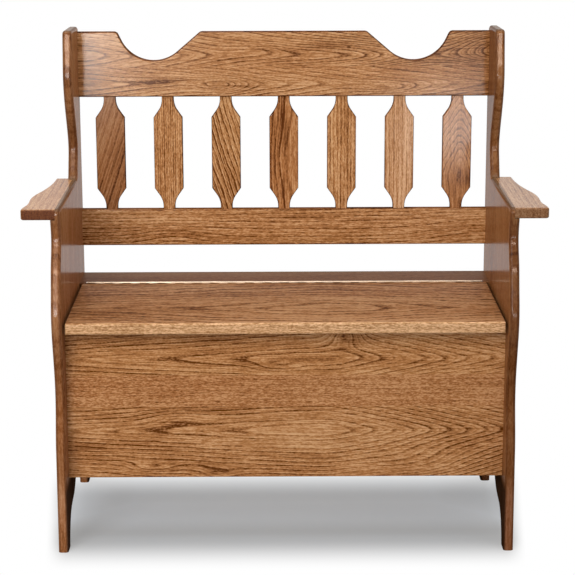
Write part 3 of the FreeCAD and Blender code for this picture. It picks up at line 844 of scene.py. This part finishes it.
@dataclass
class Back:
    """Crest rail, lower rail and the slats between them.

    crest_joint is the height of the glue joint between the two boards of the crest.
    """

    crest_joint: float = 0.966
    crest_high: BoardFigure = BoardFigure(
        heart_width=0.02, heart_depth=0.003, apex=-0.46, lean=0.19, ring_pitch=0.0088, wander=0.0045,
        contrast=1.2, dashes=0.45, tone=HONEY.scaled(0.94, 0.93, 0.93), seed=5.2,
        domes=(
            RingDome(-0.055, 0.034, 0.06, 0.014, -0.014),
            RingDome(0.16, 0.02, 0.2, 0.03, -0.035),
            RingDome(0.5, 0.04, 0.12, 0.06, -0.11),
        ),
        patches=(
            RingDome(-0.057, 0.034, 0.025, 0.005, 0.35),
            RingDome(0.09, 0.039, 0.045, 0.007, 0.35),
            RingDome(0.145, 0.037, 0.0032, 0.0018, 2.0),
            RingDome(0.2, 0.03, 0.02, 0.006, 0.25),
            # Painted shade at the crest's right end, beside the wing
            RingDome(0.48, 0.03, 0.13, 0.07, 0.38),
        ),
    )
    crest_low: BoardFigure = BoardFigure(
        heart_width=-0.043, heart_depth=0.003, apex=-0.46, lean=0.12, ring_pitch=0.0088, wander=0.0045,
        contrast=1.2, streaks=0.65, dashes=0.5, tone=HONEY.scaled(0.94, 0.93, 0.93), seed=5.9,
        domes=(
            RingDome(-0.244, -0.035, 0.08, 0.012, -0.014),
            RingDome(-0.138, -0.046, 0.05, 0.016, -0.03),
            RingDome(0.237, -0.052, 0.07, 0.012, -0.02),
        ),
        patches=(
            RingDome(-0.245, -0.036, 0.05, 0.004, 0.5),
            RingDome(-0.15, -0.045, 0.03, 0.008, 0.35),
            RingDome(-0.09, -0.05, 0.02, 0.005, 0.3),
            # Painted shade at the crest's right end, beside the wing
            RingDome(0.48, -0.03, 0.13, 0.07, 0.38),
        ),
    )
    lower: BoardFigure = BoardFigure(
        heart_width=-0.16, ring_pitch=0.0084, contrast=1.1, streaks=0.7,
        tone=HONEY.scaled(0.98, 0.98, 0.98), seed=6.7,
        domes=(RingDome(-0.25, -0.02, 0.08, 0.03, -0.014), RingDome(0.46, -0.02, 0.13, 0.06, -0.025)),
    )
    slats: tuple[BoardFigure, ...] = (
        BoardFigure(
            slant=18.0, ring_pitch=0.0145, wander=0.003, contrast=1.15, streaks=0.4, dashes=0.4,
            tone=HONEY.scaled(0.62, 0.54, 0.5), seed=7.1,
        ),
        BoardFigure(ring_pitch=0.005, wander=0.0012, seed=8.2),
        BoardFigure(
            slant=-16.0, ring_pitch=0.0098, wander=0.012, contrast=2.0, streaks=0.5, dashes=0.5,
            tone=HONEY.scaled(1.03, 1.08, 1.12), seed=9.3,
        ),
        BoardFigure(
            ring_pitch=0.0155, wander=0.009, contrast=1.8, dashes=0.5,
            tone=HONEY.scaled(0.9, 0.82, 0.76), seed=10.4,
            domes=(RingDome(0.0, 0.0, 0.08, 0.03, -0.016),),
            patches=(
                RingDome(0.085, -0.004, 0.045, 0.005, 0.5),
                RingDome(0.02, 0.004, 0.05, 0.006, 0.6),
                RingDome(-0.075, 0.0, 0.045, 0.005, 0.45),
                RingDome(0.03, -0.022, 0.09, 0.003, 0.35),
            ),
        ),
        BoardFigure(ring_pitch=0.0078, wander=0.002, contrast=0.85, streaks=0.8, seed=11.5),
        # Its paler, bluer tone is partly its own and partly a painted glare
        BoardFigure(
            ring_pitch=0.0098, wander=0.0025, contrast=0.9, streaks=0.8, dashes=0.5,
            tone=HONEY.scaled(1.05, 1.1, 1.25), seed=12.6,
        ),
        BoardFigure(
            heart_width=0.003, heart_depth=-0.0065, apex=-0.06, lean=0.5, ring_pitch=0.0072, wander=0.014,
            contrast=0.85, streaks=0.45, dashes=0.4, tone=HONEY.scaled(0.94, 0.9, 0.88), seed=13.7,
            patches=(RingDome(-0.062, 0.026, 0.02, 0.01, 0.7), RingDome(-0.09, 0.0, 0.04, 0.005, 0.3)),
        ),
    )
    # Painted shade on the rounded corners round the front faces
    shaded_arris: ArrisTint = ArrisTint(Axis.Y, (0.5, 0.4, 0.36))
    # Painted shade: the side faces of the slats are darkened
    slat_side_shade: Tints = (FaceTint(Side.RIGHT, (0.3, 0.22, 0.2)), FaceTint(Side.LEFT, (0.3, 0.22, 0.2)))
    # Painted shade: the top and bottom faces of the rails are darkened
    rail_edge_shade: Tints = (FaceTint(Side.TOP, (0.36, 0.27, 0.24)), FaceTint(Side.BOTTOM, (0.5, 0.4, 0.36)))
    # Painted shade: the side faces of the crest's scoops are darkened, the right-facing ones more
    scoop_side_shade: Tints = (FaceTint(Side.RIGHT, (0.3, 0.22, 0.2)), FaceTint(Side.LEFT, (0.4, 0.3, 0.27)))

    def dress(self, finish: Finisher) -> None:
        """Lays the wood on the rails and on each slat."""
        flat = BoardAxes.LENGTH_X_WIDTH_Z
        low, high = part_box("crest_rail")
        boards = [(0.0, self.crest_low), (self.crest_joint, self.crest_high)]
        # The crest's painted shade: on its top, bottom and scoop faces and its rounded corners
        edges = (*self.rail_edge_shade, *self.scoop_side_shade, self.shaded_arris)
        crest = finish.wood("oak crest_rail", flat, (low + high) / 2, boards, CREST_SATIN, edges)
        finish.lay("crest_rail", crest)
        finish.board("lower_back_rail", flat, self.lower, FRONT_SATIN, self.rail_edge_shade)
        upright = BoardAxes.LENGTH_Z_WIDTH_X
        # The slats' painted shade: on their side faces and rounded corners
        slat_shade = (*self.slat_side_shade, self.shaded_arris)
        for number, figure in enumerate(self.slats, 1):
            finish.board(f"back_slat_{number}", upright, figure, FRONT_SATIN, slat_shade)
        LOG.info("back dressed, %d slats", len(self.slats))


@dataclass
class StorageBox:
    """Front, back and bottom of the box, with its cleats.

    joint_low and joint_high are the heights of the glue joints between the three boards of the front.
    """

    joint_low: float = 0.3023
    joint_high: float = 0.3704
    low: BoardFigure = BoardFigure(
        heart_width=-0.059, heart_depth=0.002, apex=0.075, lean=0.24, lean_back=0.06, ring_pitch=0.0092,
        contrast=1.05, streaks=0.65, dashes=0.55, tone=HONEY.scaled(0.95, 0.92, 0.9), seed=14.2,
        domes=(
            RingDome(-0.23, -0.03, 0.06, 0.014, -0.014),
            RingDome(-0.28, -0.14, 0.05, 0.013, -0.02),
            RingDome(-0.14, -0.165, 0.05, 0.022, -0.014),
            RingDome(0.29, -0.135, 0.11, 0.03, -0.022),
        ),
        patches=(
            RingDome(-0.235, -0.04, 0.03, 0.0025, 0.5),
            RingDome(-0.365, -0.063, 0.014, 0.004, 0.5),
            RingDome(-0.42, -0.098, 0.06, 0.006, 0.35),
            RingDome(-0.295, -0.138, 0.03, 0.007, -0.2),
            RingDome(-0.24, -0.127, 0.018, 0.006, 0.3),
            RingDome(-0.15, -0.15, 0.012, 0.01, 0.15),
        ),
    )
    middle: BoardFigure = BoardFigure(
        ring_pitch=0.012, wander=0.002, contrast=0.25, streaks=0.7, dashes=1.2, fineness=1.25,
        tone=HONEY.scaled(0.84, 0.74, 0.67), seed=15.9,
    )
    high: BoardFigure = BoardFigure(
        heart_width=0.097, heart_depth=0.003, apex=0.08, lean=0.2, lean_back=0.06, ring_pitch=0.009,
        wander=0.0045, contrast=0.95, streaks=0.65, dashes=0.55,
        tone=HONEY.scaled(1.0, 0.97, 0.93), seed=16.4,
        domes=(RingDome(0.125, 0.165, 0.035, 0.038, -0.045), RingDome(-0.02, 0.08, 0.05, 0.014, -0.012)),
        patches=(RingDome(0.135, 0.135, 0.022, 0.012, 0.35), RingDome(0.4, 0.104, 0.03, 0.004, 0.25)),
    )
    plain: BoardFigure = BoardFigure(
        heart_width=0.1, heart_depth=0.3, ring_pitch=0.02, wander=0.02, contrast=0.4, streaks=0.3,
        tone=PLY, seed=17.0,
    )
    cleat: BoardFigure = BoardFigure(contrast=0.4, tone=BARE, seed=18.0)

    def dress(self, finish: Finisher) -> None:
        """Lays the wood on the box."""
        flat = BoardAxes.LENGTH_X_WIDTH_Z
        low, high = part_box("front_panel")
        boards = [(0.0, self.low), (self.joint_low, self.middle), (self.joint_high, self.high)]
        front = finish.wood("oak front_panel", flat, (low + high) / 2, boards, FRONT_SATIN)
        finish.lay("front_panel", front)
        finish.board("box_back_panel", flat, self.plain, SANDED)
        finish.board("box_bottom", BoardAxes.LENGTH_X_WIDTH_Y, self.plain, SANDED)
        for node in ("bottom_cleat_front", "bottom_cleat_back"):
            finish.board(node, flat, self.cleat, SANDED)
        for node in ("bottom_cleat_left", "bottom_cleat_right", "strip_cleat_left", "strip_cleat_right"):
            finish.board(node, BoardAxes.LENGTH_Y_WIDTH_X, self.cleat, SANDED)
        LOG.info("storage box dressed")


@dataclass
class Seat:
    """The lid, the strip behind it and the battens under it.

    The front edge of the lid, to a depth of front_depth, has a figure of its own, in a lighter tone that is
    partly its edge grain and partly a painted highlight.
    """

    lid: BoardFigure = BoardFigure(
        heart_width=-0.05, heart_depth=0.01, apex=0.1, lean=0.2, lean_back=0.15, ring_pitch=0.022,
        wander=0.016, streaks=0.8, dashes=0.8, fineness=0.58, tone=HONEY.scaled(0.6, 0.55, 0.52), seed=19.3,
        patches=(
            RingDome(0.0, 0.15, 0.6, 0.1, 0.08),
            RingDome(0.1, -0.2, 0.42, 0.1, -0.5),
            RingDome(-0.36, -0.1, 0.18, 0.09, 0.16),
        ),
    )
    lid_front: BoardFigure = BoardFigure(
        ring_pitch=0.012, wander=0.002, contrast=0.45, streaks=0.9, dashes=1.3, tone=EDGE_AND_HIGHLIGHT, seed=23.4,
        patches=(RingDome(-0.38, -0.2, 0.2, 0.3, 0.09), RingDome(0.38, -0.2, 0.2, 0.3, -0.1)),
    )
    front_depth: float = 0.0035
    # The strip's dark tone is partly painted shade, where it lies under the lower rail
    strip: BoardFigure = BoardFigure(
        ring_pitch=0.01, contrast=0.4, tone=HONEY.scaled(0.28, 0.22, 0.18), seed=20.8
    )
    batten: BoardFigure = BoardFigure(contrast=0.4, tone=BARE, seed=21.1)
    # Painted shade in the gaps beside the lid: its end faces are nearly black
    lid_end_shade: Tints = (FaceTint(Side.RIGHT, (0.08, 0.08, 0.08)), FaceTint(Side.LEFT, (0.08, 0.08, 0.08)))

    def dress(self, finish: Finisher) -> None:
        """Lays the wood on the seat."""
        level = BoardAxes.LENGTH_X_WIDTH_Y
        low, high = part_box("seat_lid")
        boards = [(low.y, self.lid_front), (low.y + self.front_depth, self.lid)]
        lid = finish.wood("oak seat_lid", level, (low + high) / 2, boards, SEAT_SATIN, self.lid_end_shade)
        finish.lay("seat_lid", lid)
        finish.board("rear_seat_strip", level, self.strip, SEAT_SATIN)
        for node in ("lid_batten_left", "lid_batten_right"):
            finish.board(node, BoardAxes.LENGTH_Y_WIDTH_X, self.batten, SANDED)
        LOG.info("seat dressed")


@dataclass
class Hardware:
    """The continuous hinge, its pin, and all screws and dowels."""

    hinge_brass: Metal = Metal("hinge brass", (0.44, 0.345, 0.255), 0.3, (40.0, 900.0, 900.0))
    screw_brass: Metal = Metal("screw brass", (0.86, 0.68, 0.42), 0.3, (700.0, 700.0, 700.0))
    steel: Metal = Metal("zinc steel", (0.6, 0.6, 0.58), 0.34, (700.0, 700.0, 700.0))
    dowel: BoardFigure = BoardFigure(heart_width=0.2, ring_pitch=0.003, contrast=0.3, tone=BARE, seed=22.0)

    def dress(self, finish: Finisher) -> None:
        """Lays metal on the hinge and the screws, and wood on the dowels."""
        metals = (
            (self.hinge_brass, ("hinge_leaf_fixed", "hinge_leaf_lid")),
            (self.screw_brass, ("hinge_screws_fixed", "hinge_screws_lid")),
            (self.steel, ("hinge_pin", "cleat_screws", "lid_batten_screws")),
        )
        for metal, nodes in metals:
            material = finish.metal(metal)
            for node in nodes:
                finish.lay(node, material)
        for node in ("rail_dowels", "box_dowels", "arm_dowels"):
            finish.board(node, BoardAxes.LENGTH_X_WIDTH_Y, self.dowel, SANDED)
        LOG.info("hardware dressed")


@dataclass(frozen=True)
class Softbox:
    """One area lamp that looks at a point of the bench.

    With reflection_only it lights nothing, and shows only as a glare on the lacquer.
    """

    name: str
    place: Triple
    target: Triple
    width: float
    height: float
    power: float
    reflection_only: bool = False
    colour: Colour = WHITE

    def build(self) -> None:
        """Adds the lamp."""
        data = bpy.data.lights.new(self.name, "AREA")
        data.shape = "RECTANGLE"
        data.size = self.width
        data.size_y = self.height
        data.energy = self.power
        data.color = self.colour
        lamp = bpy.data.objects.new(self.name, data)
        bpy.context.scene.collection.objects.link(lamp)
        lamp.location = self.place
        lamp.rotation_mode = "QUATERNION"
        lamp.rotation_quaternion = (Vector(self.target) - Vector(self.place)).to_track_quat("-Z", "Y")
        lamp.visible_diffuse = not self.reflection_only


@dataclass
class Studio:
    """Pale floor, soft light and the camera.

    The floor is seen as plain white, but for a patch under the bench that keeps its shadow. shade_half_width,
    shade_front and shade_back are the edges of the patch, shade_splay is how much it widens to the back, and
    it fades out over fade_side, fade_front and fade_back. floor_glow is the share of white within it, which
    lightens the shadow. The patch also holds a painted shadow: it is painted floor_back behind, the darker
    floor_front before front_zone and, by side_share, past side_zone, where it is also tinted floor_side.
    fill is the strength of the even light from all round.
    """

    floor_size: float = 80.0
    floor_back: Colour = (0.74, 0.83, 0.95)
    floor_front: Colour = (0.36, 0.374, 0.39)
    floor_side: Colour = (1.0, 0.972, 0.935)
    floor_glow: float = 0.215
    front_zone: Range = (-0.115, 0.06)
    side_zone: Range = (0.34, 0.48)
    side_share: float = 0.6
    shade_half_width: float = 0.482
    shade_splay: float = 0.1
    shade_front: float = -0.165
    shade_back: float = 0.1
    fade_side: float = 0.05
    fade_front: float = 0.18
    fade_back: float = 0.25
    fill: float = 0.55
    lamps: tuple[Softbox, ...] = (
        Softbox("key lamp", (-1.3, -3.2, 2.1), (0.0, 0.0, 0.6), 2.0, 2.0, 84.0),
        Softbox("top lamp", (0.0, -0.5, 3.4), (0.0, 0.0, 0.5), 2.4, 1.6, 47.0),
        Softbox("left glare", (-0.84, -3.0, 0.78), (-0.4, 0.2, 0.95), 0.3, 0.6, 32.0, True),
        Softbox("right glare", (0.7, -3.0, 0.36), (0.36, 0.2, 0.85), 0.28, 0.26, 10.0, True),
        Softbox("left edge glare", (-0.84, -3.2, 1.74), (-0.467, -0.1, 0.8), 0.26, 0.3, 18.0, True, WARM),
        Softbox("right edge glare", (0.86, -3.2, 1.78), (0.467, -0.1, 0.8), 0.26, 0.3, 22.0, True, WARM),
    )
    camera_place: Triple = (-0.019, -3.9575, 1.4528)
    camera_pitch: float = 13.35
    camera_yaw: float = 0.361
    camera_roll: float = 0.1505
    focal_pixels: float = 1880.0
    frame_pixels: float = 575.0
    sensor: float = 36.0
    view_end: float = 200.0

    def white_rays(self, make: NodeMaker) -> Socket:
        """Adds a mask of the rays that should see a white background."""
        path = make.node("ShaderNodeLightPath").outputs
        seen = make.math("ADD", path["Is Camera Ray"], path["Is Glossy Ray"])
        return make.math("MINIMUM", make.math("ADD", seen, path["Is Transmission Ray"]), 1.0)

    def build_world(self) -> None:
        """White behind the bench, and an even fill of light from all round."""
        world = bpy.data.worlds.new("studio")
        bpy.context.scene.world = world
        world.use_nodes = True
        world.node_tree.nodes.clear()
        make = NodeMaker(world.node_tree)
        strength = make.spread(self.white_rays(make), UNIT, (self.fill, 1.0))
        make.output("ShaderNodeOutputWorld", make.node("ShaderNodeBackground", WHITE, strength))

    def open_floor(self, make: NodeMaker, along: Socket, back: Socket) -> Socket:
        """Adds a mask that is nought under the bench and one on the open floor round it.

        Args:
            make: The maker of the floor's nodes.
            along: Where on the floor, across the bench's width.
            back: Where on the floor, from front to back.

        Returns:
            The mask.
        """
        half_width = make.math("MULTIPLY_ADD", back, self.shade_splay, self.shade_half_width)
        side = make.math("SUBTRACT", make.math("ABSOLUTE", along), half_width)
        front = make.math("SUBTRACT", self.shade_front, back)
        behind = make.math("SUBTRACT", back, self.shade_back)
        shade: Socket | float = 1.0
        for reach, fade in ((side, self.fade_side), (front, self.fade_front), (behind, self.fade_back)):
            shade = make.math("MULTIPLY", make.spread(reach, (0.0, fade), DOWN, "SMOOTHSTEP"), shade)
        return make.math("SUBTRACT", 1.0, shade)

    def build_floor(self) -> None:
        """A wide white floor that keeps the bench's shadow, with a painted shadow under the bench as well."""
        mesh = bpy.data.meshes.new("studio_floor")
        work = bmesh.new()
        bmesh.ops.create_grid(work, x_segments=1, y_segments=1, size=self.floor_size / 2)
        work.to_mesh(mesh)
        work.free()
        floor = bpy.data.objects.new("studio_floor", mesh)
        bpy.context.scene.collection.objects.link(floor)
        make = Surface("floor white")
        along, back, _ = make.place()
        # Painted shadow: under the bench the floor is painted darker towards the front and the sides, over
        # its real shadow
        beside = make.spread(make.math("ABSOLUTE", along), self.side_zone)
        before = make.spread(back, self.front_zone, DOWN)
        forward = make.math("MAXIMUM", before, make.math("MULTIPLY", beside, self.side_share))
        painted = make.mix(forward, self.floor_back, self.floor_front)
        matte = make.node("ShaderNodeBsdfDiffuse", make.mix(beside, painted, self.floor_side, "MULTIPLY"))
        glow = make.node("ShaderNodeEmission", WHITE)
        share = make.spread(self.open_floor(make, along, back), UNIT, (self.floor_glow, 1.0))
        white = make.math("MULTIPLY", self.white_rays(make), share)
        mixed = make.node("ShaderNodeMixShader", white, matte.outputs[0], glow.outputs[0])
        make.output("ShaderNodeOutputMaterial", mixed)
        mesh.materials.append(make.material)

    def build_camera(self) -> None:
        """The camera of the photograph's view."""
        pitch, yaw, roll = map(math.radians, (self.camera_pitch, self.camera_yaw, self.camera_roll))
        ahead = Vector((math.sin(yaw) * math.cos(pitch), math.cos(yaw) * math.cos(pitch), -math.sin(pitch)))
        level = Vector((math.cos(yaw), -math.sin(yaw), 0.0))
        down = ahead.cross(level)
        right = level * math.cos(roll) + down * math.sin(roll)
        below = down * math.cos(roll) - level * math.sin(roll)
        data = bpy.data.cameras.new("camera")
        data.sensor_width = self.sensor
        data.lens = self.focal_pixels * self.sensor / self.frame_pixels
        data.clip_end = self.view_end
        camera = bpy.data.objects.new("camera", data)
        bpy.context.scene.collection.objects.link(camera)
        turn = Matrix((right, -below, -ahead)).transposed().to_4x4()
        camera.matrix_world = Matrix.Translation(Vector(self.camera_place)) @ turn
        bpy.context.scene.camera = camera

    def build(self) -> None:
        """Builds the whole studio."""
        bpy.context.scene.view_settings.view_transform = "Standard"
        self.build_world()
        self.build_floor()
        for lamp in self.lamps:
            lamp.build()
        self.build_camera()
        LOG.info("studio built")


def write_sizes() -> None:
    """Updates the view layer.
    """
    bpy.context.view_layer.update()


def main() -> None:
    """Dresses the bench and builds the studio."""
    logging.basicConfig(level=logging.INFO, format="%(message)s")
    finish = Finisher()
    for part in (EndPanels(), Arms(), Back(), StorageBox(), Seat(), Hardware()):
        part.dress(finish)
    Studio().build()
    write_sizes()


if __name__ == "__main__":
    main()
